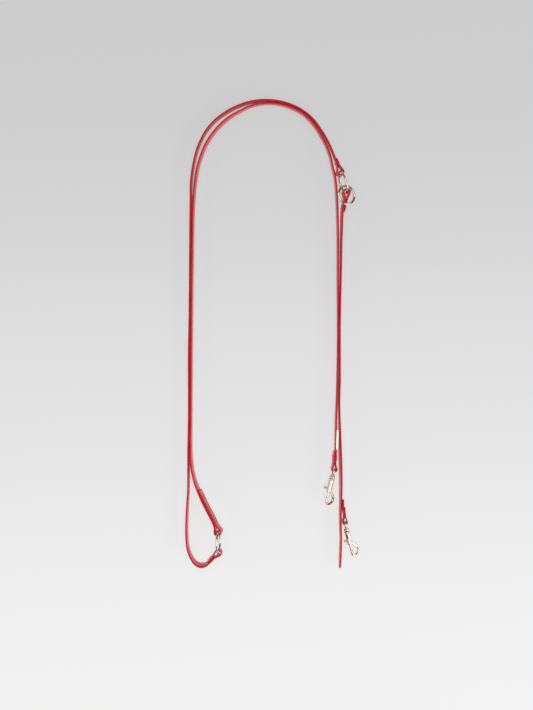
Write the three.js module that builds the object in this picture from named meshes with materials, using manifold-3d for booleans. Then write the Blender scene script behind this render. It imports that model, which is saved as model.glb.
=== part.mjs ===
// A red leather dog lead: two long straps, a loose tail strap, three rings and two bolt snaps.
// Every strap stands on its long edge on the floor. Millimetres, +Z up, floor at z = 0.
import * as THREE from 'three';
import { mergeVertices } from 'three/addons/utils/BufferGeometryUtils.js';
import Module from 'manifold-3d';

const wasm = await Module();
wasm.setup();

// ---- driving dimensions ----
const GAP = 0.3;                    // clearance between pieces that touch
const STRAP_WIDTH = 11;             // height of a strap that stands on its edge
const LEATHER = 1.8;                // thickness of one layer of strap leather
const FOLD_LEATHER = 1.5;           // the thinned second layer of a fold, and its eye
const TAB_LEATHER = 1.2;            // both layers of the snap tab
const RING_WIRE = 2.5;
const RING_OUTSIDE = 27;            // the two rings that stand upright
const FREE_RING_OUTSIDE = 22.5;     // the loose ring that lies on the strap edges
const RING_RADIUS = (RING_OUTSIDE - RING_WIRE) / 2;
const FREE_RING_RADIUS = (FREE_RING_OUTSIDE - RING_WIRE) / 2;
const RING_HEIGHT = RING_OUTSIDE / 2;
const RING_LIFT = RING_HEIGHT - STRAP_WIDTH / 2;
const SNAP_HEIGHT = 8.4;            // height of a snap's bar above the floor
const SNAP_LIFT = SNAP_HEIGHT - STRAP_WIDTH / 2;

// An eye is the hole that a fold leaves. The neck is where its two layers start to part.
const RING_EYE = { radius: 2.7, neck: 7 };
const SNAP_EYE = { radius: 1.8, neck: 5.5 };

// Ring centres in plan, the way each ring points along the straps, and how far it leans over.
const LOOP_RING = { x: -57.8, y: -228.6, turn: 90, lean: 5.3 };
const LINK_RING = { x: 79.2, y: 166, turn: -73.2, lean: 7.5 };
const FREE_RING = { x: 82.4, y: 151, z: 20.9, tilt: 28, turn: 10 };

// Strap routes. Each point is x, y, height of the lower edge, and lean in degrees of the upper
// edge towards the left of the way that the strap runs.
const LONG_ROUTE = [
  [-56.9, -216.8, RING_LIFT, 10], [-61.4, -207, 7.8, 12], [-65.9, -198.3, 7.1, 12],
  [-74.8, -181.2, 5, 12], [-82.3, -163.6, 2.6, 11], [-84.9, -154.9, 1.7, 9],
  [-87, -142, 0.8, 9], [-87.9, -128, 0.3, 6], [-88, -90, 0, 3],
  [-87.4, 4, 0, 3.5], [-86.6, 70, 0, 4], [-85.4, 136, 0, 4.5], [-84.2, 155, 0, 6],
  [-82.3, 171.3, 0, 8], [-80.1, 184.1, 0, 7], [-76.4, 196.3, 0, 7], [-71.7, 208.3, 0, 6],
  [-65, 219.4, 0, 4.5], [-56.6, 229.6, 0, 3.5], [-46.6, 238.6, 0, 2], [-34.9, 246, 0, -2],
  [-22, 252.2, 0, -4.5], [-7.7, 255.2, 0, -6.5], [7, 254.7, 0, -5.5], [21.2, 250.8, 0, -3.5],
  [34.3, 244, 0, -2], [44.9, 234, 0, 0], [53.1, 222.3, 0, 1], [59.7, 210.2, 0, 2],
  [64.7, 197.6, 0, 3], [67.7, 184.6, 0, 3.3], [70.6, 171.3, 0, 3.6], [73.2, 125, 0, 4.7],
  [73.7, 59, 0, 2], [74, -10, 0, -1], [72.6, -73, 0.8, 0], [71.5, -95, 1.4, 2.5],
  [70.8, -130, 1.4, 4.5], [70.3, -138, 1.9, 7], [69.2, -149.3, SNAP_LIFT, 4],
];
const LOOP_ROUTE = [
  [-57.5, -240.2, RING_LIFT, -3], [-63.6, -246.2, 7.3, 4], [-68.9, -251, 6.7, 6],
  [-72.6, -253.2, 6.1, 10], [-76.7, -253.8, 5.5, 13], [-80.4, -253.1, 4.8, 11],
  [-83.5, -251.1, 4.2, 9], [-88.1, -244.5, 3.2, 7], [-91.3, -234.9, 2.2, 6],
  [-92.5, -221.1, 1, 6], [-92.4, -204.9, 0.3, 6], [-91.9, -188.4, 0, 4], [-91, -171.9, 0, 3],
  [-90.6, -128, 0, 4.5], [-90.2, -95, 0, 3], [-90.1, -62, 0, 3], [-90.2, -20, 0, 3],
  [-89.6, 10, 0, 3], [-89.2, 45, 0, 3], [-88.9, 85, 0, 3], [-88.3, 145, 0, 3],
  [-87.7, 171.3, 0, 3], [-82.8, 198.5, 0, 2.5], [-77.9, 211.9, 0, 3], [-71.1, 224.5, 0, 2],
  [-61.6, 235.5, 0, 2], [-49.9, 244.4, 0, 2], [-36.8, 251.4, 0, 1], [-22.6, 256.1, 0, 0.5],
  [-7.7, 258, 0, 0], [7.4, 256.9, 0, 0], [22, 252.9, 0, 0], [35.5, 246.1, 0, 0],
  [46.8, 236.3, 0.5, 0], [55.6, 224.3, 1, 0], [62.8, 211.5, 2.5, 0], [68.4, 198, 5, 0],
  [72.5, 185.5, 7.2, 0], [75.5, 177, RING_LIFT, 4],
];
const TAIL_ROUTE = [
  [81.7, 155.2, RING_LIFT, 8], [79.8, 147, 7.7, 10], [77.9, 139, 7.2, 10], [77.2, 129.6, 6.5, 7],
  [77.2, 119, 5.5, 5.5], [77, 103, 3.3, 4], [76.9, 81, 1.3, 3], [76.9, 59, 0.3, 1],
  [76.6, 37, 0, 0], [76.3, 15, 0, -1], [76.2, -7, 0, -1], [76.3, -29, 0, -1],
  [75.8, -51, 0, 2], [75.2, -73, 0, 2], [75.4, -89.5, 0, 2], [75.7, -106, 0, 4],
  [75.6, -122.5, 0, 8], [75.8, -139, 0, 10.5], [76.2, -155, 0, 10], [76.4, -172, 0, 9],
  [76.3, -188, 0, 7], [76.2, -200, 0, 5], [76.4, -212, 0, 4], [76.9, -224.7, 0, 3.5],
  [76.8, -233.5, 0, 3.5], [75.8, -258.9, 0, 3.5],
];
const TAB_ROUTE = [
  [78.6, -183, 1.5, 7], [78.8, -190, 2, 6], [80, -199.5, 2.6, 3],
  [81.6, -207.6, SNAP_LIFT, 0],
];
const TAIL_POINT_LENGTH = 11;
const TAIL_POINT_WIDTH = 0.3;       // the tip's width as a share of the strap's

// Keeper plate: a sheet on the long strap's outer face, with a lip over each strap edge.
const KEEPER = {
  x: 71.07, y: -116.4, z: 1.4, turn: -1.2, lean: 3.5, length: 21, sheet: 0.8, lip: 0.7, gap: 0.4,
};

// Bolt snap, measured from its bar along its own axis.
const BAR_WIRE = 2;
const BOW_HALF = [[8.7, 2], [7.2, 4], [4.6, 6.8], [1.2, 6.9], [0, 5.6], [0, 2]];
const BOSS = { start: 7.4, end: 10.4, radius: 3.1, hole: 1.35 };
const RIVET = { headStart: 5.2, headEnd: 7.1, headRadius: 1.9, shaftRadius: 1, end: 12.2 };
const COLLAR = { start: 10.7, end: 12, radius: 3.2 };
const GROOVE = { end: 12.7, radius: 2.5 };
const BARREL = { end: 26, radius: 2.8, bore: 1.6, boreStart: 13.2, rivetHoleEnd: 12.5 };
const BOLT = { start: 20.7, end: 32.2, radius: 1.25, travel: 6.3 };
const KNOB = { at: 22.2, stalk: 0.9, head: 1.7, headStart: 5.1, top: 6.5 };
const KNOB_TURN = THREE.MathUtils.degToRad(252);   // from the hook's back, round the axis
const HOOK_WIRE = 3;
const HOOK_TIP = 32.5;
const HOOK_ROUTE = [
  [23.6, 1.9], [25.6, 3.3], [27.6, 5.7], [30.5, 8.4], [34, 9.4], [37.6, 7.6], [39.5, 4.2],
  [38.3, 1], [35.6, 0], [HOOK_TIP, 0],
];
const SPRING = { start: 13.7, end: 20.2, radius: 1.02, wire: 0.4, turns: 4.5 };

// The two snaps: bar position, heading in plan, dip of the axis, and roll of the hook's back.
const SNAPS = [
  { name: 'long', at: [69.6, -149.3, SNAP_HEIGHT], heading: -103.6, dip: 0, roll: 40 },
  { name: 'tail', at: [81.6, -207.6, SNAP_HEIGHT], heading: -77, dip: 3, roll: 29 },
];

// ---- materials ----
const finish = (color, roughness, metalness) =>
  new THREE.MeshStandardMaterial({ color, roughness, metalness });
const redLeather = finish(0xa8222f, 0.45, 0);
const paleNickel = finish(0xe2d5c2, 0.2, 1);
const springSteel = finish(0xb9b6b0, 0.3, 1);

// ---- helpers ----
function mesh(name, geometry, material) {
  const piece = new THREE.Mesh(geometry, material);
  piece.name = name;
  return piece;
}

function toSolid(geometry) {
  const bare = geometry.clone();
  bare.deleteAttribute('normal');
  bare.deleteAttribute('uv');
  const merged = mergeVertices(bare, 1e-4);
  return new wasm.Manifold(new wasm.Mesh({
    numProp: 3,
    vertProperties: Float32Array.from(merged.attributes.position.array),
    triVerts: Uint32Array.from(merged.index.array),
  }));
}

function toGeometry(solid) {
  const result = solid.getMesh();
  const geometry = new THREE.BufferGeometry();
  geometry.setAttribute('position', new THREE.BufferAttribute(result.vertProperties, 3));
  geometry.setIndex(new THREE.BufferAttribute(result.triVerts, 1));
  return geometry;
}

// A rod of round section along a curve.
function rod(curve, radius, sides, steps) {
  const section = new THREE.Shape();
  for (let i = 0; i < sides; i++) {
    const turn = (i / sides) * Math.PI * 2;
    const x = radius * Math.cos(turn);
    const y = radius * Math.sin(turn);
    if (i === 0) section.moveTo(x, y);
    else section.lineTo(x, y);
  }
  return new THREE.ExtrudeGeometry(section, { steps, extrudePath: curve, bevelEnabled: false });
}

// A turned piece whose axis is +X. The profile is a list of [distance along X, radius].
function turned(profile, sides) {
  const points = profile.map(([along, radius]) => new THREE.Vector2(radius, along));
  return new THREE.LatheGeometry(points, sides).rotateZ(-Math.PI / 2);
}

function cylinderAlongX(start, end, radius, sides) {
  return turned([[start, 0], [start, radius], [end, radius], [end, 0]], sides);
}

// ---- straps ----
const STATIONS_PER_POINT = 2;

// Stations along a route: place, side direction (left of travel), lower edge, lean, distance.
function walkRoute(route) {
  const curve = new THREE.CatmullRomCurve3(
    route.map(([x, y, z]) => new THREE.Vector3(x, y, z)), false, 'centripetal');
  const count = (route.length - 1) * STATIONS_PER_POINT;
  const stations = [];
  let distance = 0;
  for (let i = 0; i <= count; i++) {
    const place = curve.getPoint(i / count);
    const ahead = curve.getTangent(i / count);
    const index = Math.min(Math.floor(i / STATIONS_PER_POINT), route.length - 2);
    const part = i / STATIONS_PER_POINT - index;
    const lean = THREE.MathUtils.lerp(route[index][3], route[index + 1][3], part);
    const flat = Math.hypot(ahead.x, ahead.y);
    if (i > 0) distance += place.distanceTo(stations[i - 1].place);
    stations.push({
      place, lean, distance, x: place.x, y: place.y, floor: Math.max(0, place.z),
      ahead: new THREE.Vector2(ahead.x / flat, ahead.y / flat),
      left: new THREE.Vector2(-ahead.y / flat, ahead.x / flat),
    });
  }
  return stations;
}

// How far a strap's left and right faces stand off its route. A fold is a second layer, and the
// two layers part towards an eye.
function faceOffsets(distance, length, { leather, second, folds, eyes }) {
  const offsets = { left: leather / 2, right: leather / 2 };
  for (const fold of folds) {
    const fromEnd = fold.end === 'start' ? distance : length - distance;
    if (fromEnd < fold.length) offsets[fold.side] += second;
  }
  for (const [fromEnd, eye] of [[distance, eyes.start], [length - distance, eyes.end]]) {
    if (!eye || fromEnd > eye.neck) continue;
    const parted = 1 - fromEnd / eye.neck;
    offsets.left = THREE.MathUtils.lerp((leather + second) / 2, eye.radius + second * 0.8, parted);
    offsets.right = offsets.left;
  }
  return offsets;
}

// A cylinder on a station of the route, which leans over as the strap does there.
function leaningCylinder(station, radius, height) {
  const cylinder = new THREE.CylinderGeometry(radius, radius, height, 22).rotateX(Math.PI / 2);
  const position = cylinder.attributes.position;
  const slope = Math.tan(THREE.MathUtils.degToRad(station.lean));
  for (let i = 0; i < position.count; i++) {
    const up = STRAP_WIDTH / 2 + position.getZ(i);
    position.setXYZ(
      i, station.x + position.getX(i) + station.left.x * up * slope,
      station.y + position.getY(i) + station.left.y * up * slope, station.floor + up);
  }
  return toSolid(cylinder);
}

// A strap standing on its edge: a long box bent along its route. An eye at either end is a fold
// round a ring or a bar.
function strapGeometry(strap) {
  const { route, second, eyes, pointed } = strap;
  const stations = walkRoute(route);
  const steps = stations.length - 1;
  const length = stations[steps].distance;
  const box = new THREE.BoxGeometry(1, 1, 1, steps, 1, 1);
  const position = box.attributes.position;
  for (let i = 0; i < position.count; i++) {
    const station = stations[Math.round((position.getX(i) + 0.5) * steps)];
    const offsets = faceOffsets(station.distance, length, strap);
    const fromTip = length - station.distance;
    const tip = pointed ? Math.min(1, TAIL_POINT_WIDTH + fromTip / TAIL_POINT_LENGTH) : 1;
    const up = STRAP_WIDTH * (0.5 + position.getZ(i) * tip);
    const shift = up * Math.tan(THREE.MathUtils.degToRad(station.lean));
    const side = shift + (position.getY(i) > 0 ? offsets.left : -offsets.right);
    position.setXYZ(
      i, station.x + station.left.x * side, station.y + station.left.y * side, station.floor + up);
  }
  let solid = toSolid(box);
  for (const [eye, station] of [[eyes.start, stations[0]], [eyes.end, stations[steps]]]) {
    if (!eye) continue;
    solid = solid.add(leaningCylinder(station, eye.radius + second, STRAP_WIDTH));
    solid = solid.subtract(leaningCylinder(station, eye.radius, STRAP_WIDTH * 2));
  }
  return toGeometry(solid);
}

const longStrap = mesh('long_strap', strapGeometry({
  route: LONG_ROUTE,
  leather: LEATHER,
  second: FOLD_LEATHER,
  folds: [{ end: 'start', side: 'right', length: 50 }, { end: 'end', side: 'right', length: 20 }],
  eyes: { start: RING_EYE, end: SNAP_EYE },
}), redLeather);

const loopStrap = mesh('loop_strap', strapGeometry({
  route: LOOP_ROUTE,
  leather: LEATHER,
  second: FOLD_LEATHER,
  folds: [{ end: 'start', side: 'right', length: 16 }, { end: 'end', side: 'left', length: 16 }],
  eyes: { start: RING_EYE, end: RING_EYE },
}), redLeather);

const tailStrap = mesh('tail_strap', strapGeometry({
  route: TAIL_ROUTE,
  leather: LEATHER,
  second: FOLD_LEATHER,
  folds: [{ end: 'start', side: 'left', length: 22 }],
  eyes: { start: RING_EYE },
  pointed: true,
}), redLeather);

const snapTab = mesh('snap_tab', strapGeometry({
  route: TAB_ROUTE,
  leather: TAB_LEATHER,
  second: TAB_LEATHER,
  folds: [{ end: 'end', side: 'left', length: 17 }],
  eyes: { end: SNAP_EYE },
}), redLeather);

// ---- rings ----
function ring(name, radius) {
  return mesh(name, new THREE.TorusGeometry(radius, RING_WIRE / 2, 8, 28), paleNickel);
}

// A ring that stands on the floor, in a plane that contains the way it points.
function standingRing(name, { x, y, turn, lean }) {
  const standing = ring(name, RING_RADIUS);
  standing.rotation.x = THREE.MathUtils.degToRad(90 - lean);
  const placed = new THREE.Group();
  placed.position.set(x, y, RING_HEIGHT);
  placed.rotation.z = THREE.MathUtils.degToRad(turn);
  placed.add(standing);
  return placed;
}

const loopRing = standingRing('loop_ring', LOOP_RING);
const linkRing = standingRing('link_ring', LINK_RING);

const freeRing = new THREE.Group();
freeRing.position.set(FREE_RING.x, FREE_RING.y, FREE_RING.z);
freeRing.rotation.z = THREE.MathUtils.degToRad(FREE_RING.turn);
const tiltedRing = ring('free_ring', FREE_RING_RADIUS);
tiltedRing.rotation.y = THREE.MathUtils.degToRad(FREE_RING.tilt);
freeRing.add(tiltedRing);

// ---- keeper plate ----
function keeperGeometry() {
  const { length, sheet, lip, gap } = KEEPER;
  const inside = { face: LEATHER / 2 + gap, low: -gap, high: STRAP_WIDTH + gap };
  const outside = { face: inside.face + sheet, low: inside.low - sheet, high: inside.high + sheet };
  const lipEnd = LEATHER / 2 - lip;
  const section = new THREE.Shape([
    new THREE.Vector2(lipEnd, outside.low),
    new THREE.Vector2(outside.face, outside.low),
    new THREE.Vector2(outside.face, outside.high),
    new THREE.Vector2(lipEnd, outside.high),
    new THREE.Vector2(lipEnd, inside.high),
    new THREE.Vector2(inside.face, inside.high),
    new THREE.Vector2(inside.face, inside.low),
    new THREE.Vector2(lipEnd, inside.low),
  ]);
  const geometry = new THREE.ExtrudeGeometry(section, { depth: length, bevelEnabled: false });
  return geometry.translate(0, 0, -length / 2).rotateX(Math.PI / 2);
}

const keeperPlate = mesh('keeper_plate', keeperGeometry(), paleNickel);
keeperPlate.rotation.y = THREE.MathUtils.degToRad(KEEPER.lean);
const keeper = new THREE.Group();
keeper.position.set(KEEPER.x, KEEPER.y, KEEPER.z);
keeper.rotation.z = THREE.MathUtils.degToRad(KEEPER.turn);
keeper.add(keeperPlate);

// ---- bolt snaps, along +X from the bar, with the hook's back towards +Y ----
function swivelEyeGeometry() {
  const path = [
    ...BOW_HALF.map(([x, z]) => new THREE.Vector3(x, 0, -z)),
    ...BOW_HALF.toReversed().map(([x, z]) => new THREE.Vector3(x, 0, z)),
  ];
  const bow = rod(new THREE.CatmullRomCurve3(path, false, 'centripetal'), BAR_WIRE / 2, 8, 30);
  const boss = toSolid(cylinderAlongX(BOSS.start, BOSS.end, BOSS.radius, 18));
  const hole = toSolid(cylinderAlongX(BOSS.start - 2, BOSS.end + 1, BOSS.hole, 14));
  return toGeometry(toSolid(bow).add(boss).subtract(hole));
}

function rivetGeometry() {
  const { headStart, headEnd, headRadius, shaftRadius, end } = RIVET;
  return turned([
    [headStart, 0], [headStart, headRadius * 0.6], [headStart + 0.7, headRadius],
    [headEnd, headRadius], [headEnd, shaftRadius], [end, shaftRadius], [end, 0],
  ], 14);
}

function snapBodyGeometry() {
  const turnedBody = toSolid(turned([
    [COLLAR.start, 0], [COLLAR.start, COLLAR.radius], [COLLAR.end, COLLAR.radius],
    [COLLAR.end, GROOVE.radius], [GROOVE.end, GROOVE.radius], [GROOVE.end, BARREL.radius],
    [BARREL.end, BARREL.radius], [BARREL.end, 0],
  ], 18));
  const hookPath = new THREE.CatmullRomCurve3(
    HOOK_ROUTE.map(([x, y]) => new THREE.Vector3(x, y, 0)), false, 'centripetal');
  const hook = toSolid(rod(hookPath, HOOK_WIRE / 2, 8, 30));
  const bore = toSolid(cylinderAlongX(BARREL.boreStart, HOOK_TIP, BARREL.bore, 14));
  const rivetHole = toSolid(cylinderAlongX(
    COLLAR.start - 1, BARREL.rivetHoleEnd, RIVET.shaftRadius + GAP, 14));
  const slotStart = KNOB.at - BOLT.travel - KNOB.stalk - GAP;
  const slotEnd = KNOB.at + KNOB.stalk + GAP;
  const slotWidth = 2 * (KNOB.stalk + GAP);
  const slot = new THREE.BoxGeometry(slotEnd - slotStart, BARREL.radius + 1, slotWidth);
  slot.translate((slotStart + slotEnd) / 2, (BARREL.radius + 1) / 2, 0).rotateX(KNOB_TURN);
  return toGeometry(
    turnedBody.add(hook).subtract(bore).subtract(rivetHole).subtract(toSolid(slot)));
}

function knobGeometry() {
  const inner = BOLT.radius + GAP;
  const profile = [
    [0, inner], [KNOB.stalk, inner], [KNOB.stalk, KNOB.headStart], [KNOB.head, KNOB.headStart],
    [KNOB.head, KNOB.top - 0.4], [KNOB.head - 0.4, KNOB.top], [0, KNOB.top],
  ];
  const points = profile.map(([radius, along]) => new THREE.Vector2(radius, along));
  return new THREE.LatheGeometry(points, 14).translate(KNOB.at, 0, 0).rotateX(KNOB_TURN);
}

class Helix extends THREE.Curve {
  getPoint(t, target = new THREE.Vector3()) {
    const turn = t * SPRING.turns * Math.PI * 2;
    const along = THREE.MathUtils.lerp(SPRING.start, SPRING.end, t);
    return target.set(
      along, SPRING.radius * Math.cos(turn), SPRING.radius * Math.sin(turn));
  }
}

function snap({ name, at, heading, dip, roll }) {
  const body = new THREE.Group();
  body.rotation.x = THREE.MathUtils.degToRad(-roll);
  const bolt = cylinderAlongX(BOLT.start, BOLT.end, BOLT.radius, 14);
  body.add(
    mesh(`${name}_snap_body`, snapBodyGeometry(), paleNickel),
    mesh(`${name}_snap_rivet`, rivetGeometry(), paleNickel),
    mesh(`${name}_snap_bolt`, bolt, paleNickel),
    mesh(`${name}_snap_knob`, knobGeometry(), paleNickel),
    mesh(`${name}_snap_spring`, rod(new Helix(), SPRING.wire / 2, 4, 54), springSteel),
  );
  const dipped = new THREE.Group();
  dipped.rotation.y = THREE.MathUtils.degToRad(dip);
  dipped.add(mesh(`${name}_snap_eye`, swivelEyeGeometry(), paleNickel), body);
  const placed = new THREE.Group();
  placed.position.set(...at);
  placed.rotation.z = THREE.MathUtils.degToRad(heading);
  placed.add(dipped);
  return placed;
}

const lead = new THREE.Group();
lead.add(longStrap, loopStrap, tailStrap, snapTab);
lead.add(loopRing, linkRing, freeRing, keeper);
lead.add(...SNAPS.map(snap));

export default lead;
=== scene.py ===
"""Looks of the red leather dog lead: straps, rings, keeper plate and bolt snaps, in metres."""
import math
from bisect import bisect_right
from typing import NamedTuple

import bpy
from mathutils import Matrix, Vector


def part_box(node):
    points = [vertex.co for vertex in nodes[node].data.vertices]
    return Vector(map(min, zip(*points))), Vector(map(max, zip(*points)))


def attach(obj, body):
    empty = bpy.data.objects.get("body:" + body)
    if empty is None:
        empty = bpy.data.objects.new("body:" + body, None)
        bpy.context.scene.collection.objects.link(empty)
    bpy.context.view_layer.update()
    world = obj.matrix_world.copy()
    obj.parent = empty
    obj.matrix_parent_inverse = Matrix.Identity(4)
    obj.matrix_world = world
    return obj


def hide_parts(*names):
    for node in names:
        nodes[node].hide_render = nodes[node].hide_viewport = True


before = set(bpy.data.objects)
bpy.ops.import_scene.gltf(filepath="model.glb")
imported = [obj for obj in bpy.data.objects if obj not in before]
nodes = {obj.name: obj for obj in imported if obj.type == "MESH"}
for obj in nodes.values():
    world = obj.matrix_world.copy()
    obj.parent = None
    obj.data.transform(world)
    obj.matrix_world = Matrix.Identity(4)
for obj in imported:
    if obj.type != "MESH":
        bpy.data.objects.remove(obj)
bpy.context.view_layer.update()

MM = 0.001
LEFT = 1
RIGHT = -1

# ---------------------------------------------------------------- sizes shared with the CAD
STRAP_WIDTH = 11 * MM
LEATHER = 1.8 * MM
FOLD_LEATHER = 1.5 * MM    # the thinned second layer of a fold, and its eye
TAB_LEATHER = 1.2 * MM
RING_WIRE = 1.25 * MM      # radius of the ring wire
RING_RADIUS = 12.25 * MM   # to the middle of the wire, as is the free ring's
FREE_RING_RADIUS = 10 * MM

# How the rings stand, in degrees: the way each points in plan, and its lean or tilt.
LOOP_RING_TURN = 90
LOOP_RING_LEAN = 5.3
LINK_RING_TURN = -73.2
LINK_RING_LEAN = 7.5
FREE_RING_TURN = 100
FREE_RING_TILT = 28


# ---------------------------------------------------------------- folds of the straps
class Fold(NamedTuple):
    """An end of a strap that is folded back: its eye, the second layer's side, and its length."""

    eye: tuple
    side: int
    length: float


# An eye is its inside radius, and how far from its centre the two layers meet.
RING_EYE = (2.7 * MM, 7.5 * MM)
SNAP_EYE = (1.8 * MM, 5.8 * MM)
LONG_START = Fold(RING_EYE, RIGHT, 50 * MM)
LONG_END = Fold(SNAP_EYE, RIGHT, 20 * MM)
LOOP_START = Fold(RING_EYE, RIGHT, 16 * MM)
LOOP_END = Fold(RING_EYE, LEFT, 16 * MM)
TAIL_START = Fold(RING_EYE, LEFT, 22 * MM)
TAB_END = Fold(SNAP_EYE, LEFT, 17 * MM)

LAYER_GAP = 0.06 * MM      # between the two layers of a fold
NECK_RUN = 5 * MM          # length past the neck over which the leather gets its full thickness
JOIN_RUN = 2 * MM          # length from there to the first section of the plain strap
SKIVE_RUN = 4 * MM         # length over which a fold's loose end is thinned
SKIVE_SHARE = 0.45         # what is left of the thickness at the loose end
POINT_RUN = 11 * MM        # length over which the tail's width would grow from nothing to full
POINT_SHARE = 0.3          # what is left of the width at the tail's tip
EDGE_ROUND = 0.7 * MM      # radius of the strap's rounded edges
THIN_ROUND_SHARE = 0.8     # the most that this radius takes of half the thickness

# How finely the straps are drawn.
SWEEP_STEP = 2.2 * MM
NECK_STEPS = 5
EYE_STEPS = 22
LAYER_STEPS = 14
CORNER_STEPS = 3
CORNER_POINTS = CORNER_STEPS + 1
SECTION_POINTS = 4 * CORNER_POINTS
BROAD_SIDES = (CORNER_POINTS - 1, 3 * CORNER_POINTS - 1)    # the section's two broad faces

# Stitches of the folds.
STITCH_PITCH = 3.2 * MM
STITCH_LENGTH = 2.5 * MM
STITCH_RADIUS = 0.33 * MM
STITCH_END = 0.08          # share of the thread's section that is left at a stitch's ends
STITCH_RISE = 0.12 * MM    # the thread's middle stands this far off the leather
STITCH_DIP = 0.3 * MM      # and sinks by this much at each end of a stitch
STITCH_SLANT = 0.2 * MM
STITCH_INSET = 1.8 * MM    # from the strap's edges
STITCH_FROM = 9.5 * MM     # the first stitch, from the eye's centre
STITCH_UNTIL = 2.5 * MM    # the last stitch, from the fold's loose end
STITCH_STEPS = 6
THREAD_SIDES = 8

# Strap routes: x, y, height of the lower edge, and lean in degrees of the upper edge towards
# the left of the way that the strap runs.
LONG_ROUTE = [
    (-0.0569, -0.2168, 0.0080, 10), (-0.0614, -0.2070, 0.0078, 12), (-0.0659, -0.1983, 0.0071, 12),
    (-0.0748, -0.1812, 0.0050, 12), (-0.0823, -0.1636, 0.0026, 11), (-0.0849, -0.1549, 0.0017, 9),
    (-0.0870, -0.1420, 0.0008, 9), (-0.0879, -0.1280, 0.0003, 6), (-0.0880, -0.0900, 0.0000, 3),
    (-0.0874, 0.0040, 0.0000, 3.5), (-0.0866, 0.0700, 0.0000, 4), (-0.0854, 0.1360, 0.0000, 4.5),
    (-0.0842, 0.1550, 0.0000, 6), (-0.0823, 0.1713, 0.0000, 8), (-0.0801, 0.1841, 0.0000, 7),
    (-0.0764, 0.1963, 0.0000, 7), (-0.0717, 0.2083, 0.0000, 6), (-0.0650, 0.2194, 0.0000, 4.5),
    (-0.0566, 0.2296, 0.0000, 3.5), (-0.0466, 0.2386, 0.0000, 2), (-0.0349, 0.2460, 0.0000, -2),
    (-0.0220, 0.2522, 0.0000, -4.5), (-0.0077, 0.2552, 0.0000, -6.5), (0.0070, 0.2547, 0.0000, -5.5),
    (0.0212, 0.2508, 0.0000, -3.5), (0.0343, 0.2440, 0.0000, -2), (0.0449, 0.2340, 0.0000, 0),
    (0.0531, 0.2223, 0.0000, 1), (0.0597, 0.2102, 0.0000, 2), (0.0647, 0.1976, 0.0000, 3),
    (0.0677, 0.1846, 0.0000, 3.3), (0.0706, 0.1713, 0.0000, 3.6), (0.0732, 0.1250, 0.0000, 4.7),
    (0.0737, 0.0590, 0.0000, 2), (0.0740, -0.0100, 0.0000, -1), (0.0726, -0.0730, 0.0008, 0),
    (0.0715, -0.0950, 0.0014, 2.5), (0.0708, -0.1300, 0.0014, 4.5), (0.0703, -0.1380, 0.0019, 7),
    (0.0692, -0.1493, 0.0029, 4),
]
LOOP_ROUTE = [
    (-0.0575, -0.2402, 0.0080, -3), (-0.0636, -0.2462, 0.0073, 4), (-0.0689, -0.2510, 0.0067, 6),
    (-0.0726, -0.2532, 0.0061, 10), (-0.0767, -0.2538, 0.0055, 13), (-0.0804, -0.2531, 0.0048, 11),
    (-0.0835, -0.2511, 0.0042, 9), (-0.0881, -0.2445, 0.0032, 7), (-0.0913, -0.2349, 0.0022, 6),
    (-0.0925, -0.2211, 0.0010, 6), (-0.0924, -0.2049, 0.0003, 6), (-0.0919, -0.1884, 0.0000, 4),
    (-0.0910, -0.1719, 0.0000, 3), (-0.0906, -0.1280, 0.0000, 4.5), (-0.0902, -0.0950, 0.0000, 3),
    (-0.0901, -0.0620, 0.0000, 3), (-0.0902, -0.0200, 0.0000, 3), (-0.0896, 0.0100, 0.0000, 3),
    (-0.0892, 0.0450, 0.0000, 3), (-0.0889, 0.0850, 0.0000, 3), (-0.0883, 0.1450, 0.0000, 3),
    (-0.0877, 0.1713, 0.0000, 3), (-0.0828, 0.1985, 0.0000, 2.5), (-0.0779, 0.2119, 0.0000, 3),
    (-0.0711, 0.2245, 0.0000, 2), (-0.0616, 0.2355, 0.0000, 2), (-0.0499, 0.2444, 0.0000, 2),
    (-0.0368, 0.2514, 0.0000, 1), (-0.0226, 0.2561, 0.0000, 0.5), (-0.0077, 0.2580, 0.0000, 0),
    (0.0074, 0.2569, 0.0000, 0), (0.0220, 0.2529, 0.0000, 0), (0.0355, 0.2461, 0.0000, 0),
    (0.0468, 0.2363, 0.0005, 0), (0.0556, 0.2243, 0.0010, 0), (0.0628, 0.2115, 0.0025, 0),
    (0.0684, 0.1980, 0.0050, 0), (0.0725, 0.1855, 0.0072, 0), (0.0755, 0.1770, 0.0080, 4),
]
TAIL_ROUTE = [
    (0.0817, 0.1552, 0.0080, 8), (0.0798, 0.1470, 0.0077, 10), (0.0779, 0.1390, 0.0072, 10),
    (0.0772, 0.1296, 0.0065, 7), (0.0772, 0.1190, 0.0055, 5.5), (0.0770, 0.1030, 0.0033, 4),
    (0.0769, 0.0810, 0.0013, 3), (0.0769, 0.0590, 0.0003, 1), (0.0766, 0.0370, 0.0000, 0),
    (0.0763, 0.0150, 0.0000, -1), (0.0762, -0.0070, 0.0000, -1), (0.0763, -0.0290, 0.0000, -1),
    (0.0758, -0.0510, 0.0000, 2), (0.0752, -0.0730, 0.0000, 2), (0.0754, -0.0895, 0.0000, 2),
    (0.0757, -0.1060, 0.0000, 4), (0.0756, -0.1225, 0.0000, 8), (0.0758, -0.1390, 0.0000, 10.5),
    (0.0762, -0.1550, 0.0000, 10), (0.0764, -0.1720, 0.0000, 9), (0.0763, -0.1880, 0.0000, 7),
    (0.0762, -0.2000, 0.0000, 5), (0.0764, -0.2120, 0.0000, 4), (0.0769, -0.2247, 0.0000, 3.5),
    (0.0768, -0.2335, 0.0000, 3.5), (0.0758, -0.2589, 0.0000, 3.5),
]
TAB_ROUTE = [
    (0.0786, -0.1830, 0.0015, 7), (0.0788, -0.1900, 0.0020, 6), (0.0800, -0.1995, 0.0026, 3),
    (0.0816, -0.2076, 0.0029, 0),
]

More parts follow.
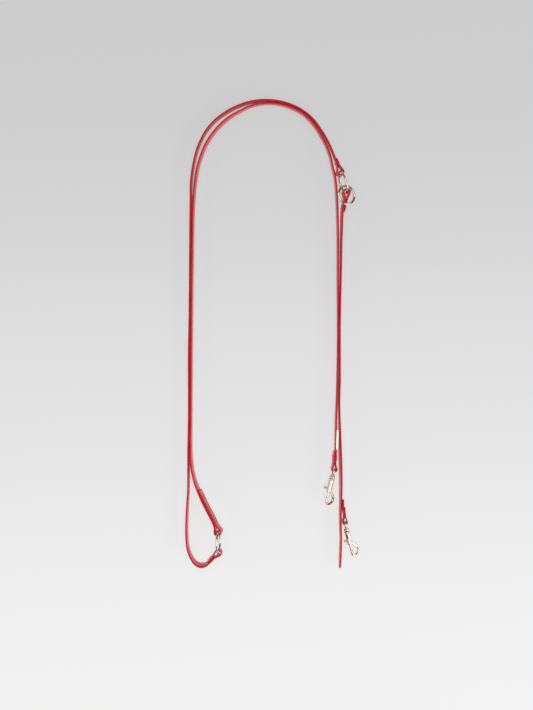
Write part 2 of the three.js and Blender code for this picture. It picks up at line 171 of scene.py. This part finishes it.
# ---------------------------------------------------------------- colours and light
FACE_DEEP = (0.82, 0.040, 0.062)
FACE_BRIGHT = (0.94, 0.062, 0.088)
FACE_CREASE = (0.46, 0.014, 0.024)
FACE_SHEEN = (1.0, 0.62, 0.58)
EDGE_DEEP = (0.54, 0.006, 0.018)
EDGE_BRIGHT = (0.70, 0.014, 0.030)
EDGE_FIBRE = (0.28, 0.003, 0.009)
THREAD_DEEP = (0.16, 0.012, 0.018)
THREAD_BRIGHT = (0.46, 0.060, 0.068)
SNAP_NICKEL = (0.80, 0.71, 0.60)
KEEPER_NICKEL = (0.90, 0.85, 0.76)
SPRING_STEEL = (0.62, 0.61, 0.59)
NICKEL_SHADE = 0.86        # how dark the plate's darker patches are
FLOOR_WHITE = (0.15, 0.15, 0.15)
ROOM_WHITE = (0.86, 0.88, 0.9)
ROOM_STRENGTH = 0.1

# The floor's glow at shares of the way from its pale end to its grey end.
FLOOR_PALE_Y = -0.396
FLOOR_GREY_Y = 0.349
FLOOR_GLOW = [(0.0, 0.764), (0.134, 0.739), (0.313, 0.684), (0.5, 0.622), (0.671, 0.557),
              (0.851, 0.502), (1.0, 0.491)]
GAP_REACH = 30 * MM        # how far the floor looks round itself for straps that close it in, for its painted shadow in narrow gaps
FLOOR_SIZE = 12
FLOOR_DROP = 0.3 * MM      # keeps the floor clear of the straps' lower edges


# ---------------------------------------------------------------- node material helpers
class Nodes:
    """A small wrapper that adds and links shader nodes of one material."""

    def __init__(self, name):
        self.material = bpy.data.materials.new(name)
        self.material.use_nodes = True
        self.tree = self.material.node_tree
        self.shader = self.tree.nodes["Principled BSDF"]

    def add(self, kind, links=None, values=None, **settings):
        node = self.tree.nodes.new(kind)
        for key, value in settings.items():
            setattr(node, key, value)
        for key, value in (values or {}).items():
            node.inputs[key].default_value = value
        for key, socket in (links or {}).items():
            self.tree.links.new(socket, node.inputs[key])
        return node

    def fill(self, socket, value):
        """Sets a socket to a number or colour, or links it to another socket."""
        if isinstance(value, (int, float)):
            socket.default_value = value
        elif isinstance(value, tuple):
            socket.default_value = (*value, 1)
        else:
            self.tree.links.new(value, socket)

    def ramp(self, source, stops):
        """Colours at places from 0 to 1, blended in between."""
        node = self.add("ShaderNodeValToRGB", {"Fac": source})
        elements = node.color_ramp.elements
        while len(elements) < len(stops):
            elements.new(0.5)
        for element, (place, color) in zip(elements, stops):
            element.position = place
            element.color = (*color, 1)
        return node.outputs["Color"]

    def levels(self, source, stops):
        """A ramp of plain grey levels."""
        return self.ramp(source, [(place, (level,) * 3) for place, level in stops])

    def noise(self, scale, detail, roughness=0.5):
        links = {"Vector": self.position()}
        values = {"Scale": scale, "Detail": detail, "Roughness": roughness}
        return self.add("ShaderNodeTexNoise", links, values).outputs["Fac"]

    def position(self):
        return self.add("ShaderNodeTexCoord").outputs["Object"]

    def maths(self, operation, a, b):
        node = self.add("ShaderNodeMath", operation=operation)
        for socket, value in zip(node.inputs, (a, b)):
            self.fill(socket, value)
        return node.outputs["Value"]

    def mix(self, factor, a, b, blend_type="MIX"):
        node = self.add("ShaderNodeMix", data_type="RGBA", blend_type=blend_type)
        for key, value in (("Factor", factor), ("A", a), ("B", b)):
            self.fill(node.inputs[key], value)
        return node.outputs["Result"]

    def bump(self, height, strength, distance):
        node = self.add("ShaderNodeBump", {"Height": height},
                        {"Strength": strength, "Distance": distance})
        self.link("Normal", node.outputs["Normal"])

    def link(self, name, socket):
        self.tree.links.new(socket, self.shader.inputs[name])

    def set(self, **values):
        for name, value in values.items():
            self.fill(self.shader.inputs[name.replace("_", " ")], value)


def leather_face():
    """Smooth red leather with fine pores, soft creases and a little colour variation."""
    m = Nodes("leather_face")
    patches = m.noise(scale=38, detail=3)
    pores = m.add("ShaderNodeTexVoronoi", {"Vector": m.position()}, {"Scale": 1500},
                  feature="F1").outputs["Distance"]
    creases = m.noise(scale=420, detail=5, roughness=0.6)
    polish = m.noise(scale=160, detail=3)
    base = m.ramp(patches, [(0.3, FACE_DEEP), (0.7, FACE_BRIGHT)])
    m.link("Base Color", m.mix(m.maths("MULTIPLY", creases, 0.35), base, FACE_CREASE))
    m.link("Roughness", m.levels(polish, [(0.3, 0.36), (0.7, 0.48)]))
    grain = m.maths("ADD", m.maths("MULTIPLY", creases, 0.5), pores)
    m.bump(grain, strength=0.35, distance=0.22 * MM)
    m.set(Specular_IOR_Level=0.6, Sheen_Weight=0.25, Sheen_Roughness=0.4, Sheen_Tint=FACE_SHEEN,
          Coat_Weight=0.12, Coat_Roughness=0.28)
    return m.material


def leather_edge():
    """The painted cut edge: darker than the face, with slight unevenness."""
    m = Nodes("leather_edge")
    patches = m.noise(scale=60, detail=4)
    fibres = m.noise(scale=900, detail=3, roughness=0.7)
    base = m.ramp(patches, [(0.3, EDGE_DEEP), (0.7, EDGE_BRIGHT)])
    m.link("Base Color", m.mix(m.maths("MULTIPLY", fibres, 0.3), base, EDGE_FIBRE))
    m.link("Roughness", m.levels(fibres, [(0.3, 0.42), (0.7, 0.58)]))
    unevenness = m.maths("ADD", fibres, m.maths("MULTIPLY", patches, 1.5))
    m.bump(unevenness, strength=0.4, distance=0.18 * MM)
    m.set(Specular_IOR_Level=0.3)
    return m.material


def thread_material():
    """Waxed red thread, with its twist as fine diagonal ridges."""
    m = Nodes("thread")
    twist = m.add("ShaderNodeTexWave", {"Vector": m.position()},
                  {"Scale": 1400, "Distortion": 1.5, "Detail": 1.0},
                  bands_direction="DIAGONAL").outputs["Fac"]
    m.link("Base Color", m.ramp(twist, [(0.2, THREAD_DEEP), (0.8, THREAD_BRIGHT)]))
    m.bump(twist, strength=0.5, distance=0.1 * MM)
    m.set(Roughness=0.55, Sheen_Weight=0.3, Sheen_Roughness=0.5)
    return m.material


def nickel(name, color, rough_low, rough_high):
    """Polished plate with faint handling marks and a slightly uneven polish."""
    m = Nodes(name)
    cloud = m.noise(scale=120, detail=3)
    scratches = m.noise(scale=2600, detail=2, roughness=0.7)
    darker = tuple(NICKEL_SHADE * level for level in color)
    m.link("Base Color", m.ramp(cloud, [(0.3, darker), (0.7, color)]))
    m.link("Roughness", m.levels(scratches, [(0.35, rough_low), (0.75, rough_high)]))
    marks = m.maths("ADD", cloud, m.maths("MULTIPLY", scratches, 0.1))
    m.bump(marks, strength=0.12, distance=0.1 * MM)
    m.set(Metallic=1.0)
    return m.material


def floor_material():
    """A lit sheet of white acrylic: it glows evenly, less towards the top of the lead, so that
    the lead's own shadows stay faint. In the narrow gaps between straps and in the eyes a painted
    shadow dims its glow."""
    m = Nodes("floor")
    along = m.add("ShaderNodeSeparateXYZ", {"Vector": m.position()}).outputs["Y"]
    share = m.add("ShaderNodeMapRange", {"Value": along},
                  {"From Min": FLOOR_PALE_Y, "From Max": FLOOR_GREY_Y}).outputs["Result"]
    glow = m.levels(share, FLOOR_GLOW)
    # Painted shadow: ambient occlusion dims the floor's glow where straps close it in, in narrow
    # gaps and eyes.
    openness = m.add("ShaderNodeAmbientOcclusion", values={"Distance": GAP_REACH}, samples=16)
    painted_gap_shadow = m.add("ShaderNodeMapRange", {"Value": openness.outputs["AO"]},
                {"From Min": 0.03, "From Max": 0.14, "To Min": 0.02}).outputs["Result"]
    m.link("Emission Color", m.mix(1.0, glow, painted_gap_shadow, "MULTIPLY"))
    m.set(Base_Color=FLOOR_WHITE, Emission_Strength=1.0, Roughness=0.95, Specular_IOR_Level=0.1)
    return m.material


# ---------------------------------------------------------------- mesh helpers
def make_object(name, vertices, faces, materials, face_slots=None):
    mesh = bpy.data.meshes.new(name)
    mesh.from_pydata([tuple(v) for v in vertices], [], faces)
    for material in materials:
        mesh.materials.append(material)
    if face_slots:
        mesh.polygons.foreach_set("material_index", face_slots)
    mesh.polygons.foreach_set("use_smooth", [True] * len(mesh.polygons))
    mesh.update()
    thing = bpy.data.objects.new(name, mesh)
    bpy.context.scene.collection.objects.link(thing)
    return thing


def grid_faces(rows, columns, wrap_rows=False, start=0):
    """Quads between rows of points, with each row's points running round a section."""
    faces = []
    for row in range(rows if wrap_rows else rows - 1):
        after = (row + 1) % rows
        for column in range(columns):
            beside = (column + 1) % columns
            faces.append((start + row * columns + column, start + row * columns + beside,
                          start + after * columns + beside, start + after * columns + column))
    return faces


def capped_faces(rows, columns, start=0):
    """The quads between rows of points, then a flat cap at each end."""
    last = start + (rows - 1) * columns
    near_cap = tuple(range(start + columns - 1, start - 1, -1))
    far_cap = tuple(range(last, last + columns))
    return grid_faces(rows, columns, start=start) + [near_cap, far_cap]


def rod_points(line, sizes, sides):
    """Round sections along a line of vectors, each with the radius from sizes."""
    points = []
    last = len(line) - 1
    side = (line[1] - line[0]).normalized().orthogonal().normalized()
    for i, (point, size) in enumerate(zip(line, sizes)):
        ahead = (line[min(i + 1, last)] - line[max(i - 1, 0)]).normalized()
        side = (side - ahead * side.dot(ahead)).normalized()
        up = ahead.cross(side)
        for k in range(sides):
            turn = 2 * math.pi * k / sides
            points.append(point + (side * math.cos(turn) + up * math.sin(turn)) * size)
    return points


class Builder:
    """Collects closed forms into one nickel piece. Its sizes are in millimetres, along and round
    the X axis of its place."""

    def __init__(self, place):
        self.vertices = []
        self.faces = []
        self.place = place

    def add(self, points, faces):
        self.vertices += [self.place @ (point * MM) for point in points]
        self.faces += faces

    def lathe(self, profile, sides):
        """Turns a closed profile of (distance along X, radius) round X."""
        start = len(self.vertices)
        points = []
        for along, radius in profile:
            for k in range(sides):
                turn = 2 * math.pi * k / sides
                points.append(Vector((along, radius * math.cos(turn), radius * math.sin(turn))))
        self.add(points, grid_faces(len(profile), sides, wrap_rows=True, start=start))

    def tube(self, line, radius, sides):
        """A round rod along a line; radius(t) gives its size at a share t of the line."""
        start = len(self.vertices)
        sizes = [radius(i / (len(line) - 1)) for i in range(len(line))]
        self.add(rod_points(line, sizes, sides), capped_faces(len(line), sides, start))

    def prism(self, outline, low, high):
        """A flat outline of (X, Z) between two heights along Y."""
        start = len(self.vertices)
        points = [Vector((along, level, across)) for level in (low, high)
                  for along, across in outline]
        self.add(points, capped_faces(2, len(outline), start))

    def finish(self, name):
        return make_object(name, self.vertices, self.faces, [nickel_plate])


CUT_SHARE = 0.45           # a rounding takes at most this share of a side


def rounded(profile, radius, steps=4):
    """Rounds the corners of a closed profile of (distance along X, radius)."""
    result = []
    for i, corner in enumerate(profile):
        before = Vector(profile[i - 1])
        here = Vector(corner)
        after = Vector(profile[(i + 1) % len(profile)])
        cut = min(radius, CUT_SHARE * (before - here).length, CUT_SHARE * (after - here).length)
        start = here + (before - here).normalized() * cut
        end = here + (after - here).normalized() * cut
        for k in range(steps + 1):
            t = k / steps
            result.append(tuple(start * (1 - t) ** 2 + here * 2 * t * (1 - t) + end * t ** 2))
    return result


def spline_point(points, t):
    """Centripetal Catmull-Rom point at t, from 0 to 1, on a list of vectors."""
    last = len(points) - 1
    place = min(max(t, 0), 1) * last
    i = min(int(place), last - 1)
    part = place - i
    p1, p2 = points[i], points[i + 1]
    p0 = points[i - 1] if i > 0 else p1 * 2 - p2
    p3 = points[i + 2] if i + 2 <= last else p2 * 2 - p1
    d0 = math.sqrt((p1 - p0).length) or 1
    d1 = math.sqrt((p2 - p1).length)
    d2 = math.sqrt((p3 - p2).length) or 1
    m1 = ((p1 - p0) / d0 - (p2 - p0) / (d0 + d1) + (p2 - p1) / d1) * d1
    m2 = ((p2 - p1) / d1 - (p3 - p1) / (d1 + d2) + (p3 - p2) / d2) * d1
    square = part * part
    cube = square * part
    return (p1 * (2 * cube - 3 * square + 1) + p2 * (3 * square - 2 * cube)
            + m1 * (cube - 2 * square + part) + m2 * (cube - square))


def spline(points, count):
    vectors = [Vector(p) for p in points]
    return [spline_point(vectors, i / count) for i in range(count + 1)]


# ---------------------------------------------------------------- straps
class Route:
    """A strap's route in plan, with the height of its lower edge and its lean."""

    STEPS = 10

    def __init__(self, points):
        count = (len(points) - 1) * self.STEPS
        self.places = spline([p[:3] for p in points], count)
        self.leans = []
        self.distances = [0.0]
        for i in range(count + 1):
            index = min(i // self.STEPS, len(points) - 2)
            part = i / self.STEPS - index
            self.leans.append(points[index][3] * (1 - part) + points[index + 1][3] * part)
            if i:
                step = (self.places[i] - self.places[i - 1]).length
                self.distances.append(self.distances[-1] + step)
        self.length = self.distances[-1]

    def at(self, distance):
        """Place in plan, direction, floor height and lean at a distance; straight past ends."""
        inside = min(max(distance, 0), self.length)
        high = min(bisect_right(self.distances, inside), len(self.distances) - 1)
        low = high - 1
        span = self.distances[high] - self.distances[low]
        part = (inside - self.distances[low]) / span
        place = self.places[low].lerp(self.places[high], part)
        before = self.places[max(low - 1, 0)]
        after = self.places[min(high + 1, len(self.places) - 1)]
        ahead = (after - before).xy.normalized()
        plan = place.xy + ahead * (distance - inside)
        lean = self.leans[low] * (1 - part) + self.leans[high] * part
        return plan, ahead, max(0.0, place.z), lean


def to_left(ahead):
    """The direction to the left of a direction in plan."""
    return Vector((-ahead.y, ahead.x))


def eye_line(fold, leather, second):
    """One fold as (distance from the eye's centre, offset to the left, thickness) from the main
    layer, round the eye and back along the second layer."""
    inside_radius, neck = fold.eye
    side = fold.side
    radius = inside_radius + second / 2
    apart = side * ((leather + second) / 2 + LAYER_GAP)
    touch = math.acos(radius / neck)
    reach = radius * math.cos(touch) - neck
    swing = side * radius * math.sin(touch)
    line = [(neck + NECK_RUN, 0.0, leather), (neck + NECK_RUN / 2, 0.0, (leather + second) / 2)]
    for k in range(1, NECK_STEPS):
        line.append((neck + reach * k / NECK_STEPS, -swing * k / NECK_STEPS, second))
    for k in range(EYE_STEPS + 1):
        turn = touch + (2 * math.pi - 2 * touch) * k / EYE_STEPS
        line.append((radius * math.cos(turn), -side * radius * math.sin(turn), second))
    for k in range(NECK_STEPS - 1, 0, -1):
        offset = apart + (swing - apart) * k / NECK_STEPS
        line.append((neck + reach * k / NECK_STEPS, offset, second))
    start = neck + NECK_RUN / 2
    for k in range(LAYER_STEPS + 1):
        line.append((start + (fold.length - start) * k / LAYER_STEPS, apart, second))
    return line


def strip_points(route, leather, second, start, end):
    """Points of the whole strip, fold to fold: (distance along the route, offset to the left,
    thickness)."""
    points = []
    first = 0.0
    last = route.length
    if start:
        points += reversed(eye_line(start, leather, second))
        first = points[-1][0] + JOIN_RUN
    if end:
        neck = end.eye[1]
        last = route.length - neck - NECK_RUN - JOIN_RUN
    count = int((last - first) / SWEEP_STEP)
    points += [(first + (last - first) * i / count, 0.0, leather) for i in range(count + 1)]
    if end:
        points += [(route.length - back, offset, thickness)
                   for back, offset, thickness in eye_line(end, leather, second)]
    return points


def section(half):
    """A strap's rounded section as (across the thickness, up), anticlockwise from its lower
    right corner, for half the thickness."""
    corner = min(EDGE_ROUND, half * THIN_ROUND_SHARE)
    top = STRAP_WIDTH - corner
    across = half - corner
    points = []
    for x, z, turn in ((across, corner, -90), (across, top, 0), (-across, top, 90),
                       (-across, corner, 180)):
        for k in range(CORNER_POINTS):
            angle = math.radians(turn + 90 * k / CORNER_STEPS)
            points.append((x + corner * math.cos(angle), z + corner * math.sin(angle)))
    return points


def skive(distance):
    """The share of the thickness at a distance from a fold's loose end."""
    return min(1, SKIVE_SHARE + (1 - SKIVE_SHARE) * distance / SKIVE_RUN)


def strap_mesh(name, route, points, start, end, pointed):
    """Sweeps the strap's section along its strip."""
    plan = []
    for distance, offset, thickness in points:
        place, ahead, floor, lean = route.at(distance)
        left = to_left(ahead)
        plan.append((place + left * offset, left, floor, lean, thickness))
    last = len(plan) - 1
    run = [0.0]
    for i in range(1, last + 1):
        run.append(run[-1] + (plan[i][0] - plan[i - 1][0]).length)
    vertices = []
    for i, (place, left, floor, lean, thickness) in enumerate(plan):
        across = to_left((plan[min(i + 1, last)][0] - plan[max(i - 1, 0)][0]).normalized())
        left_over = run[-1] - run[i]
        half = thickness / 2
        if start:
            half *= skive(run[i])
        if end:
            half *= skive(left_over)
        share = min(1, POINT_SHARE + left_over / POINT_RUN) if pointed else 1.0
        slope = math.tan(math.radians(lean))
        for x, z in section(half):
            up = STRAP_WIDTH / 2 + (z - STRAP_WIDTH / 2) * share
            spot = place + across * x + left * (up * slope)
            vertices.append((spot.x, spot.y, floor + up))
    round_strap = [0 if column in BROAD_SIDES else 1 for column in range(SECTION_POINTS)]
    caps = [1, 1]
    return make_object(name, vertices, capped_faces(len(plan), SECTION_POINTS), leather_sides,
                       round_strap * last + caps)


class Threads:
    """Stitches of one fold: small closed bars of thread that lie on the leather."""

    def __init__(self, route):
        self.route = route
        self.vertices = []
        self.faces = []

    def spot(self, distance, offset, up):
        place, ahead, floor, lean = self.route.at(distance)
        plan = place + to_left(ahead) * (offset + up * math.tan(math.radians(lean)))
        return Vector((plan.x, plan.y, floor + up))

    def stitch(self, begin, way, offset, up):
        """One stitch, thinner at its ends, where it dips into the leather."""
        spots = []
        sizes = []
        for k in range(STITCH_STEPS + 1):
            t = k / STITCH_STEPS
            rounding = (2 * t - 1) ** 4
            depth = offset + math.copysign(STITCH_RISE, offset)
            depth -= math.copysign(STITCH_DIP * rounding, offset)
            height = up + STITCH_SLANT * (t - 0.5)
            spots.append(self.spot(begin + way * STITCH_LENGTH * t, depth, height))
            sizes.append(STITCH_RADIUS * math.sqrt(max(STITCH_END, 1 - rounding)))
        self.faces += capped_faces(len(spots), THREAD_SIDES, len(self.vertices))
        self.vertices += rod_points(spots, sizes, THREAD_SIDES)

    def row(self, first, last, offset, up):
        """Running stitches on one face, from one distance to another."""
        way = math.copysign(1, last - first)
        for k in range(int(abs(last - first) / STITCH_PITCH)):
            self.stitch(first + way * STITCH_PITCH * k, way, offset, up)

    def finish(self, name, body):
        piece = make_object(name, self.vertices, self.faces, [thread])
        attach(piece, body)


def fold_stitches(name, body, route, fold, from_start):
    """Two rows of stitches on both outer faces of a fold."""
    threads = Threads(route)
    first = STITCH_FROM
    last = fold.length - STITCH_UNTIL
    if not from_start:
        first = route.length - first
        last = route.length - last
    outer = fold.side * (LEATHER / 2 + FOLD_LEATHER + LAYER_GAP)
    inner = -fold.side * LEATHER / 2
    for up in (STITCH_INSET, STRAP_WIDTH - STITCH_INSET):
        for offset in (outer, inner):
            threads.row(first, last, offset, up)
    threads.finish(name, body)


def make_strap(node, body, route, leather, second, start=None, end=None, pointed=False):
    points = strip_points(route, leather, second, start, end)
    piece = strap_mesh(node + "_leather", route, points, start, end, pointed)
    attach(piece, body)
    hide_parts(node)
    return piece


CORD_STEP = 8 * MM


def declare_free_strap(route):
    """Walks a free strap's route from end to end in steps of CORD_STEP and keeps nothing."""
    count = int(route.length / CORD_STEP)
    for i in range(count + 1):
        place, ahead, floor, lean = route.at(route.length * i / count)


# ---------------------------------------------------------------- the camera comes first
CAMERA_AT = (-4.95 * MM, -23.4 * MM, 1.011)
CAMERA_LENS = 46.05
CAMERA_NEAR = 0.05
scene = bpy.context.scene
camera_data = bpy.data.cameras.new("camera")
camera_data.lens = CAMERA_LENS
camera_data.clip_start = CAMERA_NEAR
camera = bpy.data.objects.new("camera", camera_data)
camera.location = CAMERA_AT
scene.collection.objects.link(camera)
scene.camera = camera

# ---------------------------------------------------------------- materials
face_leather = leather_face()
edge_leather = leather_edge()
thread = thread_material()
nickel_plate = nickel("pale_nickel", SNAP_NICKEL, rough_low=0.06, rough_high=0.13)
keeper_plate_metal = nickel("keeper_nickel", KEEPER_NICKEL, rough_low=0.07, rough_high=0.15)
spring_wire = nickel("spring_wire", SPRING_STEEL, rough_low=0.25, rough_high=0.35)
board = floor_material()
leather_sides = [face_leather, edge_leather]

# ---------------------------------------------------------------- straps
long_route = Route(LONG_ROUTE)
loop_route = Route(LOOP_ROUTE)
tail_route = Route(TAIL_ROUTE)
tab_route = Route(TAB_ROUTE)
long_strap = make_strap("long_strap", "long_strap", long_route, LEATHER, FOLD_LEATHER,
                        start=LONG_START, end=LONG_END)
loop_strap = make_strap("loop_strap", "loop_strap", loop_route, LEATHER, FOLD_LEATHER,
                        start=LOOP_START, end=LOOP_END)
tail_strap = make_strap("tail_strap", "tail_strap", tail_route, LEATHER, FOLD_LEATHER,
                        start=TAIL_START, pointed=True)
make_strap("snap_tab", "tail_strap", tab_route, TAB_LEATHER, TAB_LEATHER, end=TAB_END)
declare_free_strap(long_route)
declare_free_strap(loop_route)
declare_free_strap(tail_route)

fold_stitches("stitches_long_ring", "long_strap", long_route, LONG_START, from_start=True)
fold_stitches("stitches_long_snap", "long_strap", long_route, LONG_END, from_start=False)
fold_stitches("stitches_loop_ring", "loop_strap", loop_route, LOOP_START, from_start=True)
fold_stitches("stitches_loop_link", "loop_strap", loop_route, LOOP_END, from_start=False)
fold_stitches("stitches_tail_link", "tail_strap", tail_route, TAIL_START, from_start=True)


# ---------------------------------------------------------------- rings and keeper plate
RING_STEPS = 96
WIRE_SIDES = 20


def stand_for(piece, node, body):
    """Declares a metal piece that takes a CAD node's place."""
    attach(piece, body)
    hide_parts(node)


def smooth_ring(node, turn, tilt, radius):
    """A ring of round wire at its CAD node's middle. turn and tilt, in degrees, place its
    plane: tilt 0 lies flat."""
    low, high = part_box(node)
    place = (Matrix.Translation((Vector(low) + Vector(high)) / 2)
             @ Matrix.Rotation(math.radians(turn), 4, "Z")
             @ Matrix.Rotation(math.radians(tilt), 4, "X"))
    vertices = []
    for i in range(RING_STEPS):
        angle = 2 * math.pi * i / RING_STEPS
        outward = Vector((math.cos(angle), math.sin(angle), 0))
        for k in range(WIRE_SIDES):
            round_wire = 2 * math.pi * k / WIRE_SIDES
            point = outward * (radius + RING_WIRE * math.cos(round_wire))
            vertices.append(place @ (point + Vector((0, 0, RING_WIRE * math.sin(round_wire)))))
    faces = grid_faces(RING_STEPS, WIRE_SIDES, wrap_rows=True)
    stand_for(make_object(node + "_wire", vertices, faces, [nickel_plate]), node, node)


smooth_ring("loop_ring", LOOP_RING_TURN, 90 - LOOP_RING_LEAN, RING_RADIUS)
smooth_ring("link_ring", LINK_RING_TURN, 90 - LINK_RING_LEAN, RING_RADIUS)
smooth_ring("free_ring", FREE_RING_TURN, FREE_RING_TILT, FREE_RING_RADIUS)


def give_material(node, material):
    """Gives a CAD node its material, with its shape kept."""
    node.data.materials.clear()
    node.data.materials.append(material)


KEEPER_ROUND = 0.3 * MM
keeper = nodes["keeper_plate"]
give_material(keeper, keeper_plate_metal)
keeper_bevel = keeper.modifiers.new("rounded_edges", "BEVEL")
keeper_bevel.width = KEEPER_ROUND
keeper_bevel.segments = 3
keeper_bevel.limit_method = "ANGLE"

# ---------------------------------------------------------------- bolt snaps
# Bolt snap sizes are in millimetres along its axis from the bar, as in the CAD.
AXIS = 0.02                # a turned outline closes this near to its axis
HOOK_TIP = 32.5
KNOB_AT = 22.2
KNOB_TURN = math.radians(252)
BOLT_TRAVEL = 6.3
BOW_RADIUS = 1.0           # of the bow's wire
HOOK_RADIUS = 1.2          # of the hook's wire where it leaves the barrel
HOOK_SWELL = 0.3           # what the hook's bend has more
SWELL_PACE = 1.15          # above 1, the swelling ends before the hook does
HOOK_TIP_RADIUS = 1.35
HOOK_TIP_FROM = 0.95       # share of the hook's length where its tip begins
HOOK_PATH = [
    (22.0, 1.5, 0), (24.2, 2.4, 0), (26.2, 3.9, 0), (28.2, 6.1, 0), (30.8, 8.4, 0), (34, 9.4, 0),
    (37.4, 7.8, 0), (39.4, 4.4, 0), (38.5, 1.2, 0), (35.9, 0, 0), (HOOK_TIP, 0, 0),
]
BOW_HALF = [(8.7, 2), (7.2, 4), (4.6, 6.8), (1.2, 6.9), (0, 5.6), (0, 2)]

# The slot that the knob's stalk runs in: half its width, and its depth from the axis outwards.
SLOT_HALF = 1.05
SLOT_LOW = 0.9
SLOT_HIGH = 4.2
SLOT_STEPS = 12

# Outlines as (distance, radius) that are turned round the axis, and the knob's round its stalk.
BOSS = [(7.4, 1.35), (7.4, 2.6), (8.2, 3.15), (9.7, 3.15), (10.4, 2.7), (10.4, 1.35)]
RIVET = [(5.2, AXIS), (5.3, 1.1), (6.0, 1.85), (7.1, 1.85), (7.1, 1.0), (12.2, 1.0),
         (12.2, AXIS)]
BARREL = [(10.7, AXIS), (10.7, 2.7), (11.2, 3.2), (12.0, 3.2), (12.0, 2.35), (12.75, 2.35),
          (12.75, 2.95), (13.6, 3.0), (19, 2.65), (25.6, 2.75), (26.1, 2.4), (26.1, 1.6),
          (13.3, 1.6), (13.3, AXIS)]
BOLT = [(20.7, AXIS), (20.7, 1.25), (32.2, 1.25), (32.2, AXIS)]
KNOB = [(1.4, AXIS), (1.4, 0.9), (4.6, 0.9), (5.1, 1.7), (6.1, 1.7), (6.5, 1.2), (6.6, AXIS)]


def hook_radius(t):
    """The hook's wire swells round the bend, and ends in an even tip."""
    if t >= HOOK_TIP_FROM:
        return HOOK_TIP_RADIUS
    return HOOK_RADIUS + HOOK_SWELL * math.sin(math.pi * min(1, t * SWELL_PACE)) ** 0.5


def cut_away(piece, cutter):
    """Cuts one closed form out of another and keeps the result as a plain mesh."""
    modifier = piece.modifiers.new("cut", "BOOLEAN")
    modifier.operation = "DIFFERENCE"
    modifier.solver = "EXACT"
    modifier.object = cutter
    graph = bpy.context.evaluated_depsgraph_get()
    result = bpy.data.meshes.new_from_object(piece.evaluated_get(graph))
    piece.modifiers.clear()
    piece.data = result
    bpy.data.objects.remove(cutter)


def slot_outline():
    """A slot with round ends, as long as the bolt's travel."""
    outline = []
    for middle, first_turn in ((KNOB_AT - BOLT_TRAVEL, math.pi / 2), (KNOB_AT, -math.pi / 2)):
        for k in range(SLOT_STEPS + 1):
            turn = first_turn + math.pi * k / SLOT_STEPS
            outline.append((middle + SLOT_HALF * math.cos(turn), SLOT_HALF * math.sin(turn)))
    return outline


def snap_body(name, place, body):
    """The barrel with the knob's slot cut through its wall, and the hook."""
    barrel = Builder(place)
    barrel.lathe(rounded(BARREL, radius=0.3), sides=48)
    piece = barrel.finish(name)
    slot = Builder(place @ Matrix.Rotation(KNOB_TURN, 4, "X"))
    slot.prism(slot_outline(), SLOT_LOW, SLOT_HIGH)
    cut_away(piece, slot.finish(name + "_slot"))
    stand_for(piece, name, body)
    hook = Builder(place)
    hook.tube(spline(HOOK_PATH, count=90), hook_radius, sides=20)
    hook_piece = hook.finish(name + "_hook")
    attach(hook_piece, body)


def turned_piece(name, node, body, place, outline, rounding):
    """A piece of the snap that is one outline turned round the axis of its place."""
    builder = Builder(place)
    builder.lathe(rounded(outline, rounding), sides=32)
    stand_for(builder.finish(name), node, body)


def snap_eye(name, place, body):
    """The swivel eye: a wire bow and the boss that the rivet turns in."""
    upper = [(x, 0, z) for x, z in BOW_HALF]
    lower = [(x, 0, -z) for x, z in BOW_HALF]
    eye = Builder(place)
    eye.tube(spline(lower + upper[::-1], count=80), lambda t: BOW_RADIUS, sides=18)
    eye.lathe(rounded(BOSS, radius=0.35), sides=44)
    stand_for(eye.finish(name + "_wire"), name, body)


def bolt_snap(name, at, heading, dip, roll):
    eye_place = (Matrix.Translation(Vector(at)) @ Matrix.Rotation(math.radians(heading), 4, "Z")
                 @ Matrix.Rotation(math.radians(dip), 4, "Y"))
    place = eye_place @ Matrix.Rotation(math.radians(-roll), 4, "X")
    knob_place = (place @ Matrix.Translation(Vector((KNOB_AT * MM, 0, 0)))
                  @ Matrix.Rotation(KNOB_TURN, 4, "X") @ Matrix.Rotation(math.pi / 2, 4, "Z"))
    snap_eye(name + "_eye", eye_place, name + "_eye")
    snap_body(name + "_body", place, name)
    turned_piece(name + "_rivet_head", name + "_rivet", name, place, RIVET, rounding=0.25)
    turned_piece(name + "_bolt_pin", name + "_bolt", name + "_bolt", place, BOLT, rounding=0.35)
    turned_piece(name + "_knob_head", name + "_knob", name + "_bolt", knob_place, KNOB,
                 rounding=0.3)
    give_material(nodes[name + "_spring"], spring_wire)


bolt_snap("long_snap", (69.6 * MM, -149.3 * MM, 8.4 * MM), heading=-103.6, dip=0, roll=40)
bolt_snap("tail_snap", (81.6 * MM, -207.6 * MM, 8.4 * MM), heading=-77, dip=3, roll=29)

# ---------------------------------------------------------------- floor and light
bpy.ops.mesh.primitive_plane_add(size=FLOOR_SIZE, location=(0, 0, -FLOOR_DROP))
floor = bpy.context.object
floor.name = "floor"
floor.data.materials.append(board)


def area_light(name, location, size, power):
    """A rectangular lamp that faces the origin."""
    data = bpy.data.lights.new(name, "AREA")
    data.shape = "RECTANGLE"
    data.size, data.size_y = size
    data.energy = power
    lamp = bpy.data.objects.new(name, data)
    lamp.location = location
    lamp.rotation_euler = (-Vector(location)).to_track_quat("-Z", "Y").to_euler()
    scene.collection.objects.link(lamp)


area_light("left_window", (-1.6, -0.1, 0.8), size=(2.4, 0.5), power=6)
area_light("right_window", (1.4, -0.8, 0.8), size=(2.4, 0.5), power=15)
area_light("top_sheet", (0, 0, 2.0), size=(2.4, 2.4), power=30)

world = bpy.data.worlds.new("dim_room")
scene.world = world
world.use_nodes = True
background = world.node_tree.nodes["Background"]
background.inputs["Color"].default_value = (*ROOM_WHITE, 1)
background.inputs["Strength"].default_value = ROOM_STRENGTH

scene.view_settings.view_transform = "Standard"
